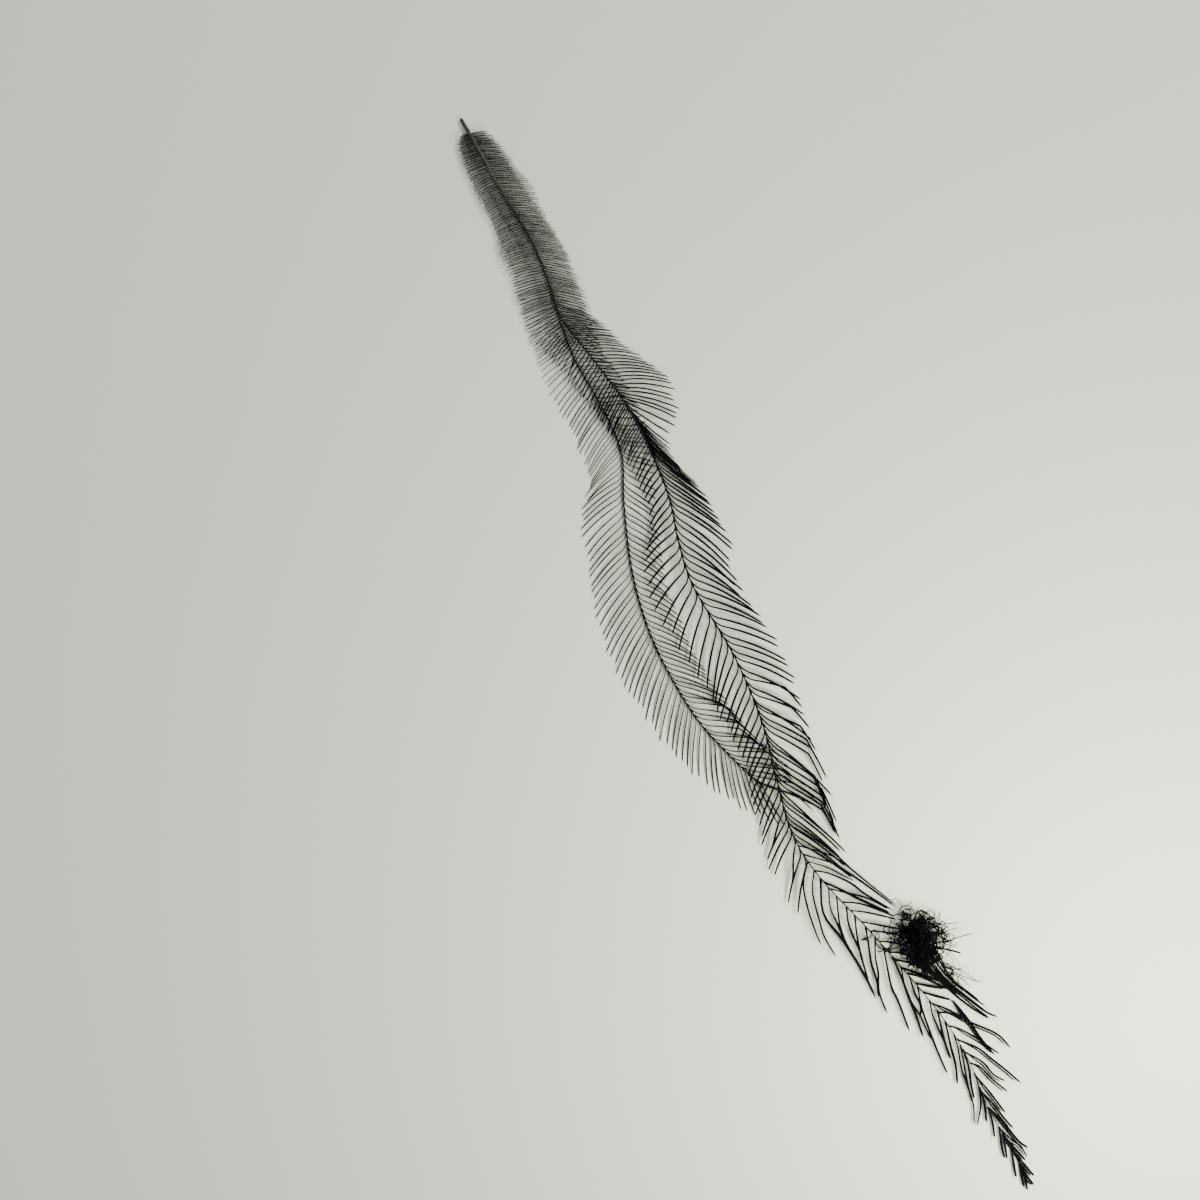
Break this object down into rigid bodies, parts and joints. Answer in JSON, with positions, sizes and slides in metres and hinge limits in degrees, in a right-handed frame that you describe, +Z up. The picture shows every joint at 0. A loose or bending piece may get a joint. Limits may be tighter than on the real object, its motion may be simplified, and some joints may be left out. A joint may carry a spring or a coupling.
{
  "type": "emu feather",
  "caption": "Long double-shafted emu plume lying flat: short bare quill, soft loose barbs, a half-twist, open outer vane, and a matted knot of barb ends near the tip.",
  "frame": {"origin": "middle of the feather's footprint, on the surface that it lies on", "axes": "+X from the quill's end to the tip, +Y to the main plume's long-barbed side, +Z up from the surface"},
  "size_m": [0.3012, 0.0465, 0.0053],
  "materials": {
    "quill_horn": "satin, dark olive-brown horn",
    "barbs": "soft black keratin fibres, faint sheen"
  },
  "bodies": {
    "root": {"quill": "quill_horn", "main_plume": "barbs", "after_plume": "barbs"}
  },
  "joints": []
}
